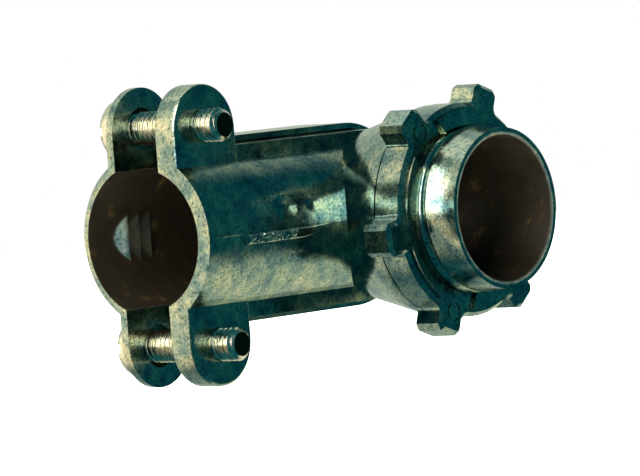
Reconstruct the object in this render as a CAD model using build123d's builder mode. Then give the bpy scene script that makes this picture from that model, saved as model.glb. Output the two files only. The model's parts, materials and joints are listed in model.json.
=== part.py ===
from build123d import *
import os

os.makedirs("parts", exist_ok=True)

# Ninety-degree squeeze connector for flexible metal conduit, in millimetres.
# The conduit channel runs along X with its mouth at -X. The threaded hub points along -Y.
# Z runs through the two pairs of clamping ears. The origin is on the hub axis, in the face
# of the shoulder that seats against the box wall.

# Driving dimensions: the channel
mouth_distance = 38.0       # hub axis to the mouth face
channel_height = 16.2       # hub shoulder to the channel axis
bore_radius = 8.8           # channel inside the body
body_wall = 1.9
flange_front = 6.2          # channel axis to the front face of the side walls
stop_distance = 18.0        # hub axis to the lip that stops the conduit
stop_length = 1.5
stop_height = 1.3

# Driving dimensions: the clamping ears and their screws
ear_radius = 5.6            # ears are twice this wide along the channel
ear_tip = 5.15              # screw axis to the tip of the ear
screw_land = 0.717          # round wall of the channel to the side of each screw
body_ear_gap = 2.9          # channel axis to the inner faces of the body's ears
cover_ear_gap = 4.0         # channel axis to the inner faces of the cover's ears
body_ear_thickness = 3.5
ear_edge_round = 0.4
cover_ear_thickness = 2.2
screw_radius = 2.083        # No. 8-32 machine thread, outside diameter 4.17
screw_length = 15.9         # five-eighths of an inch under the head
screw_tip_chamfer = 0.6
tapped_clearance = 0.04
cover_hole_clearance = 0.6
head_overhang = 1.817       # side of the shank to the rim of the head
head_height = 2.2
head_round = 1.5
slot_width = 1.1
slot_depth = 1.2

# Driving dimensions: the cover
cover_relief = 0.6          # how much wider the cover is bored than the body
cover_wall = 1.4
cover_rim_chamfer = 0.8
cover_ear_chamfer = 1.2
skirt_wall = 0.7
skirt_clearance = 0.25      # side walls of the body to the inside of the skirt
skirt_lap = 1.0             # how far the skirt laps over the body's side walls
side_gap = 0.4              # ears to the ends of the side walls and of the skirt
shelf_step = 1.3            # front of the cover's ears to the front of the shelf
shelf_join = 1.0            # how far the shelf runs over the cover's ears

# Driving dimensions: gripping wedges inside the cover
wedge_count = 3
wedge_start = 3.9           # mouth face to the foot of the first wedge
wedge_length = 3.0
wedge_pitch = 2.0
wedge_height = 0.55

# Driving dimensions: the neck, the threaded hub and its bore
neck_step = 0.2             # the neck starts this much wider than the side walls
throat_relief = 0.3         # how much wider the throat is bored than the channel
hub_wall = 1.375            # makes the hub 20.95 across, the half-inch electrical thread
hub_length = 10.2
hub_chamfer = 0.4
shoulder_width = 2.825
shoulder_edge = 1.0
throat_round = 0.3

# Driving dimensions: the locknut
nut_gap = 0.3               # shoulder to the back of the nut
nut_thickness = 4.1
nut_clearance = 0.06
nut_wall = 2.925
lug_count = 6
lug_height = 2.6
lug_width = 4.2
lug_fillet = 0.9
lug_corner = 0.7
nut_edge_chamfer = 0.5
first_lug_angle = 129.7     # measured from +X towards +Z
band_inner_gap = 0.25
band_width = 1.9
band_height = 0.45
pad_count = 3
pad_width = 6.4
mark_radius = 1.25
mark_line = 0.3
mark_depth = 0.25

# Worked out from the driving dimensions
parting_y = channel_height
tube_radius = bore_radius + body_wall
side_wall = tube_radius     # the side walls run straight back from the round wall
throat_radius = bore_radius + throat_relief
hub_radius = throat_radius + hub_wall
shoulder_radius = hub_radius + shoulder_width
neck_radius = side_wall + neck_step
flange_y = channel_height - flange_front
screw_offset = tube_radius + screw_land + screw_radius
head_radius = screw_radius + head_overhang
ear_reach = screw_offset + ear_tip
ear_x = ear_radius - mouth_distance
ear_end_x = 2 * ear_radius - mouth_distance
ear_round_z = ear_reach - ear_radius
wall_start_x = ear_end_x + side_gap
body_ear_back_y = channel_height - body_ear_gap
body_ear_front_y = body_ear_back_y - body_ear_thickness
cover_ear_front_y = channel_height + cover_ear_gap
cover_ear_back_y = cover_ear_front_y + cover_ear_thickness
cover_bore_radius = bore_radius + cover_relief
cover_radius = cover_bore_radius + cover_wall
skirt_inner = side_wall + skirt_clearance
skirt_outer = skirt_inner + skirt_wall
skirt_front_y = parting_y - skirt_lap
shelf_front_y = cover_ear_front_y + shelf_step
shelf_back_y = shelf_front_y + cover_wall
screw_tip_y = cover_ear_back_y - screw_length
nut_back_y = -nut_gap
nut_front_y = nut_back_y - nut_thickness
nut_radius = hub_radius + nut_wall
lug_tip_radius = nut_radius + lug_height

# Body: one die casting with the front half of the channel, two tapped ears, neck and hub
with BuildPart() as body:
    # Side walls, straight along the channel and round behind the hub
    with BuildSketch(Plane.XZ.offset(-parting_y)):
        with Locations((-mouth_distance / 2, 0)):
            Rectangle(mouth_distance, 2 * side_wall)
        Circle(side_wall)
    extrude(amount=parting_y - flange_y)
    # Ears with full round ends
    with BuildSketch(Plane.XZ.offset(-body_ear_back_y)):
        with Locations((ear_x, 0)):
            Rectangle(2 * ear_radius, 2 * ear_round_z)
        with Locations((ear_x, ear_round_z), (ear_x, -ear_round_z)):
            Circle(ear_radius)
    extrude(amount=body_ear_thickness)
    # Round front of the channel
    with BuildSketch(Plane.YZ.offset(-mouth_distance)):
        with Locations((channel_height, 0)):
            Circle(tube_radius)
    extrude(amount=mouth_distance)
    split(bisect_by=Plane.XZ.offset(-parting_y), keep=Keep.TOP)
    # Flaring neck, shoulder and hub, turned about the hub axis
    with BuildSketch(Plane.XY):
        with BuildLine():
            Polyline(
                (0, flange_y),
                (neck_radius, flange_y),
                (shoulder_radius, shoulder_edge),
                (shoulder_radius, 0),
                (hub_radius, 0),
                (hub_radius, hub_chamfer - hub_length),
                (hub_radius - hub_chamfer, -hub_length),
                (0, -hub_length),
                close=True,
            )
        make_face()
    revolve(axis=Axis.Y)
    # Channel, and the throat that meets it at the elbow and runs out through the hub
    with BuildSketch(Plane.YZ.offset(-mouth_distance)):
        with Locations((channel_height, 0)):
            Circle(bore_radius)
    extrude(amount=mouth_distance, mode=Mode.SUBTRACT)
    with BuildSketch(Plane.XZ.offset(-parting_y)):
        Circle(throat_radius)
    extrude(amount=parting_y + hub_length, mode=Mode.SUBTRACT)
    # Lip that stops the conduit before the elbow
    with BuildSketch(Plane.YZ.offset(-stop_distance)):
        with Locations((channel_height, 0)):
            Circle(bore_radius + body_wall / 2)
            Circle(bore_radius - stop_height, mode=Mode.SUBTRACT)
        with Locations((parting_y + tube_radius, 0)):
            Rectangle(2 * tube_radius, 2 * tube_radius, mode=Mode.SUBTRACT)
    extrude(amount=stop_length)
    # Between the ears the side walls are cut back to the ears' inner faces
    with BuildSketch(Plane.XZ.offset(-parting_y)):
        with Locations(((wall_start_x - mouth_distance) / 2, 0)):
            Rectangle(wall_start_x + mouth_distance, 2 * side_wall)
    extrude(amount=body_ear_gap, mode=Mode.SUBTRACT)
    # Tapped holes, plain at the outside diameter of the screw thread
    with BuildSketch(Plane.XZ.offset(-body_ear_back_y)):
        with Locations((ear_x, screw_offset), (ear_x, -screw_offset)):
            Circle(screw_radius + tapped_clearance)
    extrude(amount=body_ear_thickness, mode=Mode.SUBTRACT)
    # Cast edges of the ears, and the smooth lip of the throat that spares the wires
    ear_edges = body.edges().filter_by(GeomType.CIRCLE)
    fillet(ear_edges.filter_by(lambda edge: abs(edge.radius - ear_radius) < 0.01), ear_edge_round)
    fillet(body.faces().sort_by(Axis.Y)[0].inner_wires()[0].edges(), throat_round)
body.part.label = "body"

# Cover: the loose back half, squeezed towards the body by the two screws
with BuildPart() as cover:
    # Skirt that laps over the body's side walls, closed by the shelf at its back
    with BuildSketch(Plane.XZ.offset(-shelf_back_y)):
        with Locations((wall_start_x / 2, 0)):
            Rectangle(-wall_start_x, 2 * skirt_outer)
        Circle(skirt_outer)
    extrude(amount=shelf_back_y - skirt_front_y)
    with BuildSketch(Plane.XZ.offset(-shelf_front_y)):
        with Locations((wall_start_x / 2, 0)):
            Rectangle(-wall_start_x, 2 * skirt_inner)
        Circle(skirt_inner)
    extrude(amount=shelf_front_y - skirt_front_y, mode=Mode.SUBTRACT)
    # Ears with full round ends, and the strip of shelf that joins them to the skirt
    with BuildSketch(Plane.XZ.offset(-cover_ear_back_y)):
        with Locations((ear_x, 0)):
            Rectangle(2 * ear_radius, 2 * ear_round_z)
        with Locations((ear_x, ear_round_z), (ear_x, -ear_round_z)):
            Circle(ear_radius)
    extrude(amount=cover_ear_thickness)
    back_faces = cover.faces().filter_by(lambda face: face.center().Y > cover_ear_back_y - 0.01)
    chamfer(back_faces.sort_by(Axis.X)[0].outer_wire().edges(), cover_ear_chamfer)
    with BuildSketch(Plane.XZ.offset(-shelf_back_y)):
        with Locations(((ear_end_x + wall_start_x) / 2, 0)):
            Rectangle(side_gap + 2 * shelf_join, 2 * skirt_outer)
    extrude(amount=shelf_back_y - shelf_front_y)
    # Round back of the channel, ending in a ball at the elbow
    with BuildSketch(Plane.YZ.offset(-mouth_distance)):
        with Locations((channel_height, 0)):
            Circle(cover_radius)
        with Locations((cover_ear_front_y - cover_radius, 0)):
            Rectangle(2 * cover_radius, 2 * cover_radius, mode=Mode.SUBTRACT)
    extrude(amount=2 * ear_radius)
    with BuildSketch(Plane.YZ.offset(ear_end_x)):
        with Locations((channel_height, 0)):
            Circle(cover_radius)
        with Locations((shelf_front_y - cover_radius, 0)):
            Rectangle(2 * cover_radius, 2 * cover_radius, mode=Mode.SUBTRACT)
    extrude(amount=-ear_end_x)
    with BuildSketch(Plane.XY):
        with BuildLine():
            ball = CenterArc((0, channel_height), cover_radius, 0, 90)
            Polyline(ball @ 1, (0, channel_height), ball @ 0)
        make_face()
        with Locations((cover_radius / 2, channel_height)):
            Rectangle(cover_radius, 2 * (shelf_front_y - channel_height), mode=Mode.SUBTRACT)
    revolve(axis=Axis.Y)
    # Inside of the channel and of the ball
    with BuildSketch(Plane.YZ.offset(-mouth_distance)):
        with Locations((channel_height, 0)):
            Circle(cover_bore_radius)
    extrude(amount=mouth_distance, mode=Mode.SUBTRACT)
    with Locations((0, channel_height, 0)):
        Sphere(cover_bore_radius, mode=Mode.SUBTRACT)
    # Clearance holes
    with BuildSketch(Plane.XZ.offset(-cover_ear_back_y)):
        with Locations((ear_x, screw_offset), (ear_x, -screw_offset)):
            Circle(screw_radius + cover_hole_clearance)
    extrude(amount=cover_ear_thickness, mode=Mode.SUBTRACT)
    # Thin rim at the mouth
    rim_edges = cover.edges().filter_by(GeomType.CIRCLE)
    rim_edges = rim_edges.filter_by(lambda edge: abs(edge.radius - cover_radius) < 0.01)
    chamfer(rim_edges.sort_by(Axis.X)[0], cover_rim_chamfer)
    # Gripping wedges: each rises from the wall to a straight crest and drops off square
    wedge_crest_y = channel_height + cover_bore_radius - wedge_height
    wedge_foot_y = channel_height + cover_bore_radius
    wedge_half_width = (cover_bore_radius**2 - (cover_bore_radius - wedge_height) ** 2) ** 0.5
    for index in range(wedge_count):
        foot_x = wedge_start + index * wedge_pitch - mouth_distance
        crest_x = foot_x + wedge_length
        with BuildSketch(Plane.XY):
            with BuildLine():
                Polyline(
                    (foot_x, wedge_foot_y),
                    (crest_x, wedge_crest_y),
                    (crest_x, wedge_foot_y + cover_wall / 4),
                    (foot_x, wedge_foot_y + cover_wall / 4),
                    close=True,
                )
            make_face()
        extrude(amount=wedge_half_width, both=True)
cover.part.label = "cover"

# Clamp screws: slotted pan heads behind the cover's ears, shanks through both ears
with BuildPart() as clamp_screw_upper:
    with BuildSketch(Plane.XY.offset(screw_offset)):
        with BuildLine():
            Polyline(
                (ear_x, screw_tip_y),
                (ear_x + screw_radius - screw_tip_chamfer, screw_tip_y),
                (ear_x + screw_radius, screw_tip_y + screw_tip_chamfer),
                (ear_x + screw_radius, cover_ear_back_y),
                (ear_x + head_radius, cover_ear_back_y),
                (ear_x + head_radius, cover_ear_back_y + head_height),
                (ear_x, cover_ear_back_y + head_height),
                close=True,
            )
        make_face()
    revolve(axis=Axis((ear_x, 0, screw_offset), (0, 1, 0)))
    fillet(clamp_screw_upper.edges().group_by(Axis.Y)[-1], head_round)
    with BuildSketch(Plane.XZ.offset(-(cover_ear_back_y + head_height))):
        with Locations((ear_x, screw_offset)):
            Rectangle(2 * head_radius, slot_width)
    extrude(amount=slot_depth, mode=Mode.SUBTRACT)
clamp_screw_upper.part.label = "clamp_screw_upper"

with BuildPart() as clamp_screw_lower:
    add(clamp_screw_upper.part)
    mirror(about=Plane.XY, mode=Mode.REPLACE)
clamp_screw_lower.part.label = "clamp_screw_lower"

# Locknut: six lugs round a threaded ring, with a raised band on its front face
with BuildPart() as locknut:
    with BuildSketch(Plane.XZ.offset(-nut_back_y)) as nut_outline:
        Circle(nut_radius)
        with PolarLocations(lug_tip_radius / 2, lug_count, first_lug_angle):
            Rectangle(lug_tip_radius, lug_width)
        lug_corners = nut_outline.vertices().group_by(SortBy.DISTANCE)[-1]
        lug_roots = nut_outline.vertices() - lug_corners
        fillet(lug_roots, lug_fillet)
        chamfer(nut_outline.vertices().group_by(SortBy.DISTANCE)[-1], lug_corner)
    extrude(amount=nut_thickness)
    chamfer(locknut.faces().sort_by(Axis.Y)[0].outer_wire().edges(), nut_edge_chamfer)
    # Raised band, left out beside every other lug
    with BuildSketch(Plane.XZ.offset(-nut_front_y)):
        Circle(hub_radius + band_inner_gap + band_width)
        with PolarLocations(nut_radius, pad_count, first_lug_angle):
            Rectangle(nut_radius, pad_width, mode=Mode.SUBTRACT)
    extrude(amount=band_height)
    with BuildSketch(Plane.XZ.offset(-nut_back_y)):
        Circle(hub_radius + nut_clearance)
    extrude(amount=nut_thickness + band_height, mode=Mode.SUBTRACT)
    # Ring marks beside the same lugs
    with BuildSketch(Plane.XZ.offset(-nut_front_y)):
        with PolarLocations((hub_radius + lug_tip_radius) / 2, pad_count, first_lug_angle):
            Circle(mark_radius)
            Circle(mark_radius - mark_line, mode=Mode.SUBTRACT)
    extrude(amount=-mark_depth, mode=Mode.SUBTRACT)
locknut.part.label = "locknut"

export_step(body.part, "parts/body.step")
export_step(cover.part, "parts/cover.step")
export_step(clamp_screw_upper.part, "parts/clamp_screw_upper.step")
export_step(clamp_screw_lower.part, "parts/clamp_screw_lower.step")
export_step(locknut.part, "parts/locknut.step")
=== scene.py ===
# %% [markdown]
# # A ninety-degree squeeze connector for flexible metal conduit
# The connector is die-cast zinc: a body and a loose cover that two steel screws squeeze onto
# the end of a conduit. Its threaded hub goes through a box wall and a lugged locknut holds it.
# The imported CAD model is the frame. It already has every piece at its true size and place, so
# this lesson adds what a CAD solid leaves out: real threads, the seam that the casting die
# leaves, and the finish of each metal. Positions come from the boxes of the CAD nodes.

import json
import math

import bpy
import numpy as np
from mathutils import Matrix, Vector

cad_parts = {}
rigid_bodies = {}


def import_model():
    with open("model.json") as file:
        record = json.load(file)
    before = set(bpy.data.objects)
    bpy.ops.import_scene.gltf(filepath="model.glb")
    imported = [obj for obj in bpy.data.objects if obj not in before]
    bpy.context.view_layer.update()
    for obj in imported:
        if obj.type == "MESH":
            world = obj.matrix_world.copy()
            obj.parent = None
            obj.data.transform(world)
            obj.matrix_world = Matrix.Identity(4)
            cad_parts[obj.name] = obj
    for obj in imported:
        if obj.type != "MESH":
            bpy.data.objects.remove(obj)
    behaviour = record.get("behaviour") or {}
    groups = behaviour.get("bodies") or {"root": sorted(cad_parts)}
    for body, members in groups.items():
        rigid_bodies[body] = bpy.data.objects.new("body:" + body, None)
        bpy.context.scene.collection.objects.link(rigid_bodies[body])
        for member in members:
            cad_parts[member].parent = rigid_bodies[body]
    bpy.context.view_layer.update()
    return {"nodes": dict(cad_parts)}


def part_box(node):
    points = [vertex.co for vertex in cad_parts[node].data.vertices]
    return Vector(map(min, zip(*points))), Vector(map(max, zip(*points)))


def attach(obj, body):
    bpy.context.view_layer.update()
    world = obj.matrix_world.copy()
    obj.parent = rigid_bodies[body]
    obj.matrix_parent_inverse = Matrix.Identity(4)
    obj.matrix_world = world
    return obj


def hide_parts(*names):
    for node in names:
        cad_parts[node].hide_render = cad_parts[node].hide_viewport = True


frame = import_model()
MM = 0.001
print("nodes:", sorted(frame["nodes"]))

# %% [markdown]
# ## Where things are
# Places are read from the boxes of the CAD nodes. Radii and pitches, which no box gives, repeat
# the CAD model's own sizes. The hub runs along -Y from the shoulder at Y = 0, and the conduit
# channel runs along -X at the height of the parting plane, which is the flat back of the body.

# %% Sizes read from the frame
body_low, body_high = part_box("body")
screw_low, screw_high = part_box("clamp_screw_upper")
channel_y = body_high.y
hub_end_y = body_low.y
mouth_x = body_low.x
screw_x = (screw_low.x + screw_high.x) / 2
screw_z = (screw_low.z + screw_high.z) / 2
screw_tip_y = screw_low.y
HUB_RADIUS = 10.475 * MM
HUB_PITCH = 1.814 * MM
TUBE_RADIUS = 10.7 * MM
BORE_RADIUS = 8.8 * MM
COVER_BORE_RADIUS = 9.4 * MM
THROAT_RADIUS = 9.1 * MM
SCREW_RADIUS = 2.083 * MM
SCREW_PITCH = 0.794 * MM
HEAD_HEIGHT = 2.2 * MM
print("hub end at Y = %.1f mm, mouth at X = %.1f mm" % (hub_end_y / MM, mouth_x / MM))

# %% [markdown]
# ## Helpers for meshes
# A grid of points becomes a mesh with one face for each square of the grid. Copies of CAD
# meshes are merged first, because a CAD mesh is loose triangles. A Boolean is applied at once,
# so that the finished mesh is what rides on its body.

# %% Mesh helpers
def grid_mesh(name, points, close_u=False, close_v=False):
    """A mesh from points[u, v]: quads between neighbours, joined round where a side is closed."""
    count_u, count_v = points.shape[:2]
    index = np.arange(count_u * count_v).reshape(count_u, count_v)
    if close_u:
        index = np.vstack([index, index[:1]])
    if close_v:
        index = np.hstack([index, index[:, :1]])
    quads = np.stack([index[:-1, :-1], index[1:, :-1], index[1:, 1:], index[:-1, 1:]], axis=-1)
    faces = quads.reshape(-1, 4).tolist()
    if close_v and not close_u:
        faces.append(index[0, :-1].tolist())
        faces.append(index[-1, :-1][::-1].tolist())
    mesh = bpy.data.meshes.new(name)
    mesh.from_pydata(points.reshape(-1, 3).tolist(), [], faces)
    mesh.validate()
    return mesh


def new_object(name, mesh):
    """An object for the mesh, at the origin, linked to the scene."""
    made = bpy.data.objects.new(name, mesh)
    bpy.context.scene.collection.objects.link(made)
    return made


def merged_copy(name, node):
    """A copy of a CAD node's mesh with its loose corners merged."""
    mesh = frame["nodes"][node].data.copy()
    mesh.name = name
    if "custom_normal" in mesh.attributes:
        mesh.attributes.remove(mesh.attributes["custom_normal"])
    made = new_object(name, mesh)
    made.parent = None
    weld = made.modifiers.new("weld", "WELD")
    weld.merge_threshold = 0.001 * MM
    return apply_modifiers(made)


def apply_modifiers(piece):
    """The piece with its modifiers applied to its mesh."""
    depsgraph = bpy.context.evaluated_depsgraph_get()
    applied = bpy.data.meshes.new_from_object(piece.evaluated_get(depsgraph))
    piece.modifiers.clear()
    piece.data = applied
    return piece


def cut_away(piece, cutter_mesh):
    """Subtracts a closed mesh from the piece, with the exact solver."""
    cutter = new_object("cutter", cutter_mesh)
    cut = piece.modifiers.new("cut", "BOOLEAN")
    cut.operation = "DIFFERENCE"
    cut.solver = "EXACT"
    cut.object = cutter
    apply_modifiers(piece)
    bpy.data.objects.remove(cutter)
    return piece


def smooth_with_edges(piece, degrees):
    """Smooth shading, with sharp edges where faces meet at more than the angle."""
    piece.data.shade_smooth()
    piece.data.set_sharp_from_angle(angle=math.radians(degrees))
    return piece


# %% [markdown]
# ## The groove of a thread
# A thread is a groove wound round a shaft. The thread could be bump in a material, but its
# crests stand out against the light, so it has to be shape. The cutter is a closed ribbon that
# follows a helix. A profile across it says how deep each part cuts. The screws' profile is a
# cosine, which leaves round crests and roots. The cast hub's is uneven: steep on the side of the
# hub's end and gentle towards the shoulder, so that each crest leans to the light.

# %% Thread cutter
ROUND_PROFILE = tuple((place, (1 + math.cos(place / 0.49 * math.pi)) / 2)
                      for place in np.linspace(-0.49, 0.49, 13))
CAST_PROFILE = ((-0.30, 0.0), (-0.22, 0.45), (-0.12, 0.9), (0.0, 1.0), (0.12, 0.9), (0.22, 0.5), (0.32, 0.3),
                (0.48, 0.14), (0.66, 0.0))


def thread_cutter(name, x, z, radius, pitch, depth, y_first, y_last, angle_first, fade=0.0,
                  profile=ROUND_PROFILE):
    """A closed ribbon on a right-handed helix round the line through x, z along Y.

    Along the ribbon the angle grows by a turn for each pitch of Y from y_first to y_last. Across
    it the radius is the shaft's radius less the depth times the profile's share, where the profile
    gives (place in pitches, share of the depth), and its outer edge stands clear of the shaft.
    The depth fades in from nothing over the first turns in fade.
    """
    turns = abs(y_last - y_first) / pitch
    along = np.linspace(0, turns, max(int(turns * 72), 24) + 1)[:, None]
    across, deep = np.array(profile).T[:, None, :]
    share = np.clip(along / fade, 0, 1) if fade else np.ones_like(along)
    share = share * share * (3 - 2 * share)
    groove = depth * share * deep
    inner = radius + 0.06 * depth - groove * 1.06
    outer = np.full((along.shape[0], 2), radius + depth)
    reach = np.hstack([inner, outer])
    side = np.hstack([across, across[:, -1:], across[:, :1]])
    angle = angle_first + 2 * np.pi * along
    y = y_first + np.sign(y_last - y_first) * along * pitch + side * pitch
    points = np.stack([x + reach * np.cos(angle), y, z - reach * np.sin(angle)], axis=-1)
    return grid_mesh(name, points[:, ::-1], close_v=True)


# %% [markdown]
# ## Body
# The body is one casting: the front half of the conduit channel, two tapped ears, the elbow and
# the threaded hub. Its shape comes from the CAD copy, and the hub's thread is cut into it. The
# thread starts inside the plain end of the hub and stops short of the shoulder. A turned ring
# then takes a shallow taper off the plain end. The taper is a guess: it lets the end catch the
# light, which a plain cylinder there does not.

# %% Cut the hub's thread
THREAD_DEPTH = 0.8 * MM
THREAD_START = 3.1 * MM     # plain end of the hub before the groove
THREAD_END = 1.3 * MM       # left plain beside the shoulder
TAPER_START = 4.3 * MM      # end of the hub to the foot of its lead-in taper
TAPER_END = 1.7 * MM        # end of the hub to where the taper turns straight again
TAPER_DROP = 0.42 * MM      # radius that the taper takes off
TAPER_BULGE = 0.42          # share of the drop at the middle of the taper
RING_MARGIN = 1.0 * MM      # how far the cutting ring stands clear of the hub
RING_STEPS = 144
cast_body = merged_copy("cast_body", "body")
hub_groove = thread_cutter("hub_groove", 0.0, 0.0, HUB_RADIUS, HUB_PITCH, THREAD_DEPTH,
                           hub_end_y + THREAD_START, -THREAD_END, math.radians(-110), fade=0.25,
                           profile=CAST_PROFILE)
cut_away(cast_body, hub_groove)
# The ring's section, from beyond the hub's end to the foot of the taper and back outside the hub
taper_middle = (TAPER_START + TAPER_END) / 2
taper_y = hub_end_y + np.array([-RING_MARGIN, TAPER_END, taper_middle, TAPER_START, TAPER_START,
                                -RING_MARGIN])
taper_radius = HUB_RADIUS + np.array([-TAPER_DROP, -TAPER_DROP, -TAPER_BULGE * TAPER_DROP, 0.0,
                                      RING_MARGIN, RING_MARGIN])
taper_turn = np.linspace(0, 2 * np.pi, RING_STEPS + 1)[:-1, None]
taper_points = np.stack([taper_radius * np.cos(taper_turn),
                         np.broadcast_to(taper_y, (RING_STEPS, taper_y.size)),
                         taper_radius * np.sin(taper_turn)], axis=-1)
lead_in = grid_mesh("lead_in", taper_points, close_u=True, close_v=True)
cut_away(cast_body, lead_in)
smooth_with_edges(cast_body, 24)
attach(cast_body, "body")
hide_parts("body")
print("cast_body:", len(cast_body.data.polygons), "faces")

# %% [markdown]
# ## Flash on the parting line
# Where the two halves of the casting die meet, a little zinc squeezes out and is trimmed off. On
# the round front of the body it leaves a thin raised line, and one rough patch where the trim
# tore. It is shape and not bump, because its lumps catch the light one by one. The piece is a
# closed strip that follows the tube, sunk a little into it.

# %% Parting-line flash
FLASH_START = mouth_x + 1.5 * MM
FLASH_END = mouth_x + 25.0 * MM
FLASH_SINK = 0.35 * MM
PATCH_START = 5.6 * MM      # mouth to the torn patch
PATCH_END = 22.4 * MM
PATCH_RAMP_LEFT = 1.2 * MM
PATCH_RAMP_RIGHT = 5.0 * MM
LUMP_COUNT = 90
PATCH_HALF_WIDTH = 0.75     # of the patch, in millimetres, for the size of its lumps
LINE_HALF_WIDTH = 0.9       # degrees round the tube
flash_x = np.linspace(FLASH_START, FLASH_END, 420)
patch_left = np.clip((flash_x - mouth_x - PATCH_START) / PATCH_RAMP_LEFT, 0, 1)
patch_right = np.clip((mouth_x + PATCH_END - flash_x) / PATCH_RAMP_RIGHT, 0, 1)
patch = (patch_left * np.sqrt(patch_right))[:, None]
flash_across = np.linspace(-1, 1, 45)[None, :]
low_edge = np.radians(-LINE_HALF_WIDTH - 7.0 * patch)
high_edge = np.radians(LINE_HALF_WIDTH - 1.4 * patch)
flash_angle = (low_edge + high_edge) / 2 + flash_across * (high_edge - low_edge) / 2
random = np.random.default_rng(11)
lumps = np.zeros((flash_x.size, flash_across.size))
# Each lump is half a ball: its place along the tube and its size are in millimetres
for lump_x, lump_across, lump_size in zip(random.uniform(6.0, 15.5, LUMP_COUNT),
                                          random.uniform(-0.85, 0.75, LUMP_COUNT),
                                          random.uniform(0.25, 0.5, LUMP_COUNT)):
    along_mm = (flash_x[:, None] - mouth_x) / MM - lump_x
    far = np.hypot(along_mm, (flash_across - lump_across) * PATCH_HALF_WIDTH) / lump_size
    lumps = np.maximum(lumps, lump_size * np.sqrt(np.clip(1 - far ** 2, 0, None)))
flash_rise = (0.12 + 0.16 * patch + 0.9 * patch * lumps) * MM * (1 - flash_across ** 8)
flash_top = TUBE_RADIUS + flash_rise
flash_reach = np.hstack([flash_top, np.full((flash_x.size, 2), TUBE_RADIUS - FLASH_SINK)])
flash_turn = np.hstack([flash_angle, flash_angle[:, -1:], flash_angle[:, :1]])
flash_points = np.stack([np.repeat(flash_x[:, None], flash_turn.shape[1], axis=1),
                         channel_y - flash_reach * np.cos(flash_turn),
                         flash_reach * np.sin(flash_turn)], axis=-1)
flash = new_object("parting_flash", grid_mesh("parting_flash", flash_points[:, ::-1], close_v=True))
smooth_with_edges(flash, 50)
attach(flash, "body")
print("parting_flash:", len(flash.data.polygons), "faces")

# %% [markdown]
# ## Swellings above the flash
# Two pale spots lie above the flash. What makes them on the real casting is not known. Here two
# low caps that follow the tube stand in for them, because they bend the reflections enough.

# %% Swellings on the tube
def swelling(name, x, degrees, half_length, half_degrees, height):
    """A low cap on the tube: it rises by height times the square of (1 - reach squared).

    Reach is 0 at the middle and 1 at the foot, and the rim beyond the foot dips into the tube.
    """
    reach, turn = np.meshgrid(np.linspace(0.01, 1.15, 28), np.linspace(0, 2 * np.pi, 73)[:-1], indexing="ij")
    rise = height * (np.clip(1 - reach ** 2, 0, None) ** 2) - 0.02 * MM * (reach > 0.97)
    angle = np.radians(degrees + half_degrees * reach * np.sin(turn))
    from_axis = TUBE_RADIUS + rise + 0.004 * MM
    points = np.stack([x + half_length * reach * np.cos(turn), channel_y - from_axis * np.cos(angle),
                       from_axis * np.sin(angle)], axis=-1)
    cap = new_object(name, grid_mesh(name, points[:, ::-1], close_v=True))
    smooth_with_edges(cap, 60)
    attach(cap, "body")
    return cap


swellings = [swelling("swelling_left", mouth_x + 14.6 * MM, 14.0, 2.4 * MM, 9.0, 0.22 * MM),
             swelling("swelling_right", mouth_x + 20.0 * MM, 14.5, 1.6 * MM, 7.0, 0.16 * MM)]
print("swellings:", len(swellings))

# %% [markdown]
# ## Clamp screws
# Two machine screws, No. 8 with 32 threads to the inch, pull the cover towards the body. Each
# is the CAD copy with a rolled thread cut along the whole shank, so that the crests catch the
# light where the tip stands out of the ear.

# %% Cut the screw threads
SCREW_THREAD_DEPTH = 0.5 * MM
shank_end_y = screw_high.y - HEAD_HEIGHT
for side, node in ((1, "clamp_screw_upper"), (-1, "clamp_screw_lower")):
    screw = merged_copy("rolled_" + node, node)
    groove = thread_cutter("groove", screw_x, side * screw_z, SCREW_RADIUS, SCREW_PITCH,
                           SCREW_THREAD_DEPTH, screw_tip_y - SCREW_PITCH,
                           shank_end_y - SCREW_PITCH, 0.0)
    cut_away(screw, groove)
    smooth_with_edges(screw, 40)
    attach(screw, "upper_screw" if side > 0 else "lower_screw")
    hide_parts(node)
    print(screw.name, len(screw.data.polygons), "faces")

# %% [markdown]
# ## Helpers for materials
# One function adds a node with its settings and its links, and one turns an sRGB hex colour to
# linear light.

# %% Material helpers
def linear(hex_colour):
    """Linear red, green and blue, with alpha 1, from an sRGB hex colour such as "8a9b94"."""
    channels = [int(hex_colour[i:i + 2], 16) / 255 for i in (0, 2, 4)]
    return (*[c / 12.92 if c <= 0.04045 else ((c + 0.055) / 1.055) ** 2.4 for c in channels], 1.0)


def add(tree, kind, inputs=None, **settings):
    """Adds a node to the tree. Settings are set on the node, and inputs are values or sockets to link."""
    node = tree.nodes.new("ShaderNode" + kind)
    for key, value in settings.items():
        setattr(node, key, value)
    for key, value in (inputs or {}).items():
        if isinstance(value, bpy.types.NodeSocket):
            tree.links.new(value, node.inputs[key])
        else:
            node.inputs[key].default_value = value
    return node


def colours_along(tree, factor, stops):
    """A colour ramp whose stops are (place, sRGB hex)."""
    ramp = add(tree, "ValToRGB", {"Fac": factor})
    ramp.color_ramp.elements[0].position = stops[0][0]
    ramp.color_ramp.elements[0].color = linear(stops[0][1])
    ramp.color_ramp.elements[1].position = stops[-1][0]
    ramp.color_ramp.elements[1].color = linear(stops[-1][1])
    for place, colour in stops[1:-1]:
        ramp.color_ramp.elements.new(place).color = linear(colour)
    return ramp.outputs["Color"]


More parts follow.
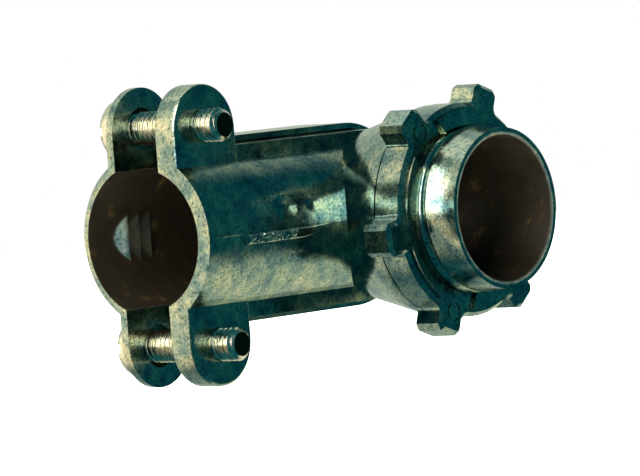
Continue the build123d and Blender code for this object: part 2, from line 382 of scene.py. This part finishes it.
# %% [markdown]
# ## Die-cast zinc
# Zinc alloy shot into a steel die comes out bright but mottled: it chills in patches, and the
# bare metal then dulls to a grey-green with paler spots. It reflects like a metal, so it is
# metallic with a low roughness. Three sizes of unevenness bend its reflections: waves a few
# millimetres long, the flow marks of the casting and fine pits. Inside the channel and throat
# the surface is painted shade: a dark dull brown that isn't metallic. The first wedge behind
# the mouth is painted pale and dull as a painted highlight, because bare metal there reflects
# the dark inside and would not show.

# %% Die-cast zinc
WAVE = 4.5 * MM
MOTTLE = 2.6 * MM
PIT = 0.35 * MM


def die_cast_zinc(name, bore_radius, throat_radius, wall_band):
    """Bare die-cast zinc with painted shade, a dark dull brown, inside the bore along X and the throat along
    Y.

    Within wall_band of the bore is its wall. What stands further out is a wedge: the first one behind the
    mouth takes a painted highlight, pale and not metallic, and those beyond it keep most of the painted
    shade.
    """
    material = bpy.data.materials.new(name)
    material.use_nodes = True
    tree = material.node_tree
    tree.nodes.clear()
    place = add(tree, "TexCoord").outputs["Object"]
    waves = add(tree, "TexNoise", {"Vector": place, "Scale": 1 / WAVE, "Detail": 2.0})
    mottle = add(tree, "TexNoise", {"Vector": place, "Scale": 1 / MOTTLE, "Detail": 6.0, "Roughness": 0.65})
    pits = add(tree, "TexNoise", {"Vector": place, "Scale": 1 / PIT, "Detail": 3.0, "Roughness": 0.7})
    outside = colours_along(tree, mottle.outputs["Fac"],
                            [(0.30, "587a84"), (0.40, "7d9a9c"), (0.50, "9fb2a8"), (0.60, "bfc6b0"),
                             (0.72, "e0dac2")])
    speckle = colours_along(tree, pits.outputs["Fac"], [(0.34, "70848c"), (0.44, "dce6e4"), (0.56, "ffffff")])
    speckled = add(tree, "Mix", {"Factor": 1.0, 6: outside, 7: speckle},
                   data_type="RGBA", blend_type="MULTIPLY")
    split = add(tree, "SeparateXYZ", {"Vector": place})
    across = add(tree, "Math", {0: split.outputs["Y"], 1: channel_y}, operation="SUBTRACT")
    channel_point = add(tree, "CombineXYZ", {"X": across.outputs[0], "Y": split.outputs["Z"]})
    from_channel = add(tree, "VectorMath", {0: channel_point.outputs[0]}, operation="LENGTH")
    throat_point = add(tree, "CombineXYZ", {"X": split.outputs["X"], "Y": split.outputs["Z"]})
    from_throat = add(tree, "VectorMath", {0: throat_point.outputs[0]}, operation="LENGTH")
    channel_reach = from_channel.outputs["Value"]
    throat_reach = from_throat.outputs["Value"]
    # Where the surface is close enough to either axis to be a bore's wall, which takes the painted shade
    near_channel = add(tree, "MapRange", {"Value": channel_reach, "From Min": bore_radius + 0.02 * MM,
                                          "From Max": bore_radius + 0.06 * MM, "To Min": 1.0, "To Max": 0.0})
    near_throat = add(tree, "MapRange", {"Value": throat_reach, "From Min": throat_radius + 0.02 * MM,
                                         "From Max": throat_radius + 0.5 * MM, "To Min": 1.0, "To Max": 0.0})
    on_wall = add(tree, "MapRange", {"Value": channel_reach, "From Min": bore_radius - wall_band,
                                     "From Max": bore_radius - wall_band / 2})
    # The outside of the elbow is as close to the axes, so the painted shade stops at these planes
    before_elbow = add(tree, "Math", {0: split.outputs["X"], 1: 0.0}, operation="LESS_THAN")
    before_back = add(tree, "Math", {0: split.outputs["Y"], 1: channel_y - 0.02 * MM}, operation="LESS_THAN")
    over_throat = add(tree, "Math", {0: throat_reach, 1: THROAT_RADIUS + 0.3 * MM}, operation="LESS_THAN")
    above_skirt = add(tree, "Math", {0: split.outputs["Y"], 1: channel_y + 5 * MM}, operation="GREATER_THAN")
    cover_roof = add(tree, "Math", {0: over_throat.outputs[0], 1: above_skirt.outputs[0]},
                     operation="MULTIPLY")
    roof_wall = add(tree, "Math", {0: cover_roof.outputs[0], 1: on_wall.outputs[0]}, operation="MULTIPLY")
    allowed = add(tree, "Math", {0: before_elbow.outputs[0], 1: roof_wall.outputs[0]}, operation="MAXIMUM")
    in_channel = add(tree, "Math", {0: near_channel.outputs[0], 1: allowed.outputs[0]}, operation="MULTIPLY")
    in_throat = add(tree, "Math", {0: near_throat.outputs[0], 1: before_back.outputs[0]},
                    operation="MULTIPLY")
    # What stands off the cover's wall is a wedge, and only the first one is pale, as a painted highlight; the
    # rest keep most of the painted shade
    off_wall = add(tree, "Math", {0: 1.0, 1: on_wall.outputs[0]}, operation="SUBTRACT")
    near_mouth = add(tree, "MapRange", {"Value": split.outputs["X"], "From Min": mouth_x + 6.3 * MM,
                                        "From Max": mouth_x + 7.2 * MM, "To Min": 1.0, "To Max": 0.1})
    off_and_near = add(tree, "Math", {0: off_wall.outputs[0], 1: near_mouth.outputs[0]}, operation="MULTIPLY")
    wedge = add(tree, "Math", {0: in_channel.outputs[0], 1: off_and_near.outputs[0]}, operation="MULTIPLY")
    painted_shade_wall = add(tree, "Math", {0: in_channel.outputs[0], 1: wedge.outputs[0]}, operation="SUBTRACT")
    inside = add(tree, "Math", {0: painted_shade_wall.outputs[0], 1: in_throat.outputs[0]}, operation="MAXIMUM")
    # Painted shade: a dark dull brown for the walls of the bores
    painted_shade_brown = colours_along(tree, mottle.outputs["Fac"], [(0.35, "282113"), (0.6, "30271a"), (0.74, "6a5428")])
    # Neither the painted shade nor the painted highlight on the first wedge is metallic
    painted_shade_and_highlight = add(tree, "Math", {0: inside.outputs[0], 1: wedge.outputs[0]}, operation="MAXIMUM")
    bare = add(tree, "MapRange", {"Value": painted_shade_and_highlight.outputs[0], "To Min": 1.0, "To Max": 0.0})
    colour = add(tree, "Mix", {"Factor": inside.outputs[0], 6: speckled.outputs[2], 7: painted_shade_brown},
                 data_type="RGBA")
    roughness = add(tree, "MapRange", {"Value": mottle.outputs["Fac"], "From Min": 0.3, "From Max": 0.7,
                                       "To Min": 0.10, "To Max": 0.22})
    dulled = add(tree, "MapRange", {"Value": inside.outputs[0], "To Min": roughness.outputs[0],
                                    "To Max": 0.6})
    wave_bump = add(tree, "Bump", {"Height": waves.outputs["Fac"], "Strength": 1.0, "Distance": 0.09 * MM})
    mottle_bump = add(tree, "Bump", {"Height": mottle.outputs["Fac"], "Strength": 1.0, "Distance": 0.04 * MM,
                                     "Normal": wave_bump.outputs[0]})
    pit_bump = add(tree, "Bump", {"Height": pits.outputs["Fac"], "Strength": 1.0, "Distance": 0.006 * MM,
                                  "Normal": mottle_bump.outputs[0]})
    shader = add(tree, "BsdfPrincipled", {"Base Color": colour.outputs[2], "Metallic": bare.outputs[0],
                                          "Roughness": dulled.outputs[0], "Normal": pit_bump.outputs[0]})
    add(tree, "OutputMaterial", {"Surface": shader.outputs[0]})
    return material


def give(piece, material):
    """Puts the material in every slot of the piece."""
    if not piece.data.materials:
        piece.data.materials.append(material)
    for slot in piece.material_slots:
        slot.material = material


body_zinc = die_cast_zinc("body die-cast zinc", BORE_RADIUS, THROAT_RADIUS, 2 * BORE_RADIUS)
cover_zinc = die_cast_zinc("cover die-cast zinc", COVER_BORE_RADIUS, 0.0, 0.16 * MM)
nut_zinc = die_cast_zinc("locknut die-cast zinc", 0.0, 0.0, MM)
give(cast_body, body_zinc)
for piece in (flash, *swellings):
    give(piece, body_zinc)
give(frame["nodes"]["cover"], cover_zinc)
give(frame["nodes"]["locknut"], nut_zinc)
print("zinc on body, cover and locknut")

# %% [markdown]
# ## Zinc-plated steel
# The screws are rolled steel with a bright electroplated zinc coat. Its highlights are nearly
# white, with a little yellow. The end face of the shank is painted dark, as painted shade.

# %% Zinc-plated steel
def zinc_plated_steel(name):
    """Bright electroplate: a nearly white metal, a little uneven in roughness, with painted shade on the end
    face of the shank.
    """
    material = bpy.data.materials.new(name)
    material.use_nodes = True
    tree = material.node_tree
    tree.nodes.clear()
    place = add(tree, "TexCoord").outputs["Object"]
    cloud = add(tree, "TexNoise", {"Vector": place, "Scale": 1 / (0.9 * MM), "Detail": 4.0})
    plate = colours_along(tree, cloud.outputs["Fac"], [(0.3, "b9b69c"), (0.55, "e4e2d2"), (0.7, "f2f0e4")])
    along = add(tree, "SeparateXYZ", {"Vector": place}).outputs["Y"]
    # Painted shade: the end face of the shank is drawn dark
    painted_shade_tip = add(tree, "Math", {0: along, 1: screw_tip_y + 0.02 * MM}, operation="LESS_THAN")
    colour = add(tree, "Mix", {"Factor": painted_shade_tip.outputs[0], 6: plate, 7: linear("3a3326")},
                 data_type="RGBA").outputs[2]
    roughness = add(tree, "MapRange", {"Value": cloud.outputs["Fac"], "From Min": 0.3, "From Max": 0.7,
                                       "To Min": 0.12, "To Max": 0.3})
    bump = add(tree, "Bump", {"Height": cloud.outputs["Fac"], "Strength": 1.0, "Distance": 0.03 * MM})
    shader = add(tree, "BsdfPrincipled", {"Base Color": colour, "Metallic": 1.0,
                                          "Roughness": roughness.outputs[0], "Normal": bump.outputs[0]})
    add(tree, "OutputMaterial", {"Surface": shader.outputs[0]})
    return material


screw_plate = zinc_plated_steel("rolled steel, zinc plated")
for piece in list(bpy.context.scene.objects):
    if piece.name.startswith("rolled_"):
        give(piece, screw_plate)

# %% [markdown]
# ## Floor
# The connector stands on a plain pale floor, a large disc just under its lowest point. It is a
# grid worked out with numpy, and it glows so that it stays pale under the part. Reflections
# leave it out, because a white floor would wash out the lower side of the castings.

# %% Floor
FLOOR_RADIUS = 400 * MM
FLOOR_DROP = 0.1 * MM
floor_z = min(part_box(n)[0].z for n in frame["nodes"]) - FLOOR_DROP
floor_reach, floor_turn = np.meshgrid(np.linspace(0.02, 1, 6) * FLOOR_RADIUS,
                                      np.linspace(0, 2 * np.pi, 97)[:-1], indexing="ij")
floor_points = np.stack([mouth_x / 2 + floor_reach * np.cos(floor_turn), floor_reach * np.sin(floor_turn),
                         np.full_like(floor_reach, floor_z)], axis=-1)
floor = new_object("floor", grid_mesh("floor", floor_points, close_v=True))
floor.visible_glossy = False
floor_paint = bpy.data.materials.new("matt white paint")
floor_paint.use_nodes = True
floor_tree = floor_paint.node_tree
floor_tree.nodes.clear()
floor_shader = add(floor_tree, "BsdfPrincipled", {"Base Color": linear("f4f4f0"), "Roughness": 0.9,
                                                  "Emission Color": linear("fffffa"),
                                                  "Emission Strength": 0.75})
add(floor_tree, "OutputMaterial", {"Surface": floor_shader.outputs[0]})
give(floor, floor_paint)

# %% [markdown]
# ## Light
# A shiny casting shows its surroundings more than its own colour. So the room is pale behind
# and to the left, where the rims face, and a deep blue-green in front and to the right, where
# the flat faces of the ears look. A soft box to the left puts white bands on the threads. The
# camera itself sees a white room, which gives a plain background.

# %% Room and lamps
CAMERA_AZIMUTH = math.radians(-49.06)
CAMERA_ELEVATION = math.radians(2.69)
CAMERA_ROLL = math.radians(4.53)


def towards(azimuth, elevation):
    """The unit vector from the part towards an azimuth and elevation in radians."""
    return Vector((math.sin(azimuth) * math.cos(elevation),
                   -math.cos(azimuth) * math.cos(elevation), math.sin(elevation)))


world = bpy.data.worlds.new("studio room")
bpy.context.scene.world = world
world.use_nodes = True
room = world.node_tree
room.nodes.clear()
ray = add(room, "TexCoord").outputs["Generated"]


def glow(azimuth, elevation, edge, full, colour):
    """A patch of the room round a direction: it fades out as the cosine falls from full to edge."""
    near = add(room, "VectorMath", {0: ray, 1: towards(math.radians(azimuth), math.radians(elevation))},
               operation="DOT_PRODUCT")
    share = add(room, "MapRange", {"Value": near.outputs["Value"], "From Min": edge, "From Max": full},
                interpolation_type="SMOOTHSTEP")
    return add(room, "Mix", {"Factor": share.outputs[0], 6: (0.0, 0.0, 0.0, 1.0), 7: linear(colour)},
               data_type="RGBA").outputs[2]


room_colour = linear("145a62")
pale_patches = (glow(170, 20, 0.1, 0.7, "c9c4ae"),
                glow(-131, -4, 0.6, 0.95, "f8d8b0"),
                glow(88, -42, 0.75, 0.95, "e6dcb8"))
for pale in pale_patches:
    lit = add(room, "Mix", {"Factor": 1.0, 6: room_colour, 7: pale}, data_type="RGBA", blend_type="ADD")
    room_colour = lit.outputs[2]
seen = add(room, "LightPath").outputs["Is Camera Ray"]
seen_colour = add(room, "Mix", {"Factor": seen, 6: room_colour, 7: (1.0, 1.0, 1.0, 1.0)}, data_type="RGBA")
background = add(room, "Background", {"Color": seen_colour.outputs[2], "Strength": 1.0})
add(room, "OutputWorld", {"Surface": background.outputs[0]})


def soft_box(name, azimuth, elevation, distance, width, height, power, colour):
    """A rectangular lamp at an azimuth and elevation in degrees round the part, turned to face it."""
    lamp = bpy.data.lights.new(name, "AREA")
    lamp.shape = "RECTANGLE"
    lamp.size, lamp.size_y = width, height
    lamp.energy = power
    lamp.color = linear(colour)[:3]
    made = bpy.data.objects.new(name, lamp)
    bpy.context.scene.collection.objects.link(made)
    away = towards(math.radians(azimuth), math.radians(elevation))
    centre = Vector((mouth_x / 2, channel_y / 2, 0.0))
    made.location = centre + away * distance
    made.rotation_euler = away.to_track_quat("Z", "Y").to_euler()
    return made


soft_box("left soft box", -90, 30, 0.60, 0.64, 0.68, 6.0, "fff8ec")
soft_box("top soft box", 165, 66, 0.60, 0.40, 0.40, 0.22, "fff8ec")

# %% [markdown]
# ## Camera
# A long lens from almost a metre away keeps the ears and the hub in their true proportions. The
# part leans a little, so the camera rolls by the same angle the other way.

# %% Camera
CAMERA_DISTANCE = 844.86 * MM
CAMERA_TARGET = Vector((-5.171, 16.2, -2.557)) * MM
LENS = 375.38               # for the 36 mm wide sensor
back = towards(CAMERA_AZIMUTH, CAMERA_ELEVATION)
right = Vector((0, 0, 1)).cross(back).normalized()
up = back.cross(right)
turned_right = right * math.cos(CAMERA_ROLL) - up * math.sin(CAMERA_ROLL)
turned_up = right * math.sin(CAMERA_ROLL) + up * math.cos(CAMERA_ROLL)
camera_data = bpy.data.cameras.new("camera")
camera_data.lens = LENS
camera_data.clip_start, camera_data.clip_end = 0.05, 50.0
camera = bpy.data.objects.new("camera", camera_data)
bpy.context.scene.collection.objects.link(camera)
camera_place = CAMERA_TARGET + back * CAMERA_DISTANCE
camera_axes = (turned_right, turned_up, back, camera_place)
camera_rows = [[axis[i] for axis in camera_axes] for i in range(3)]
camera.matrix_world = Matrix(camera_rows + [[0, 0, 0, 1]])
bpy.context.scene.camera = camera
bpy.context.scene.view_settings.view_transform = "Standard"
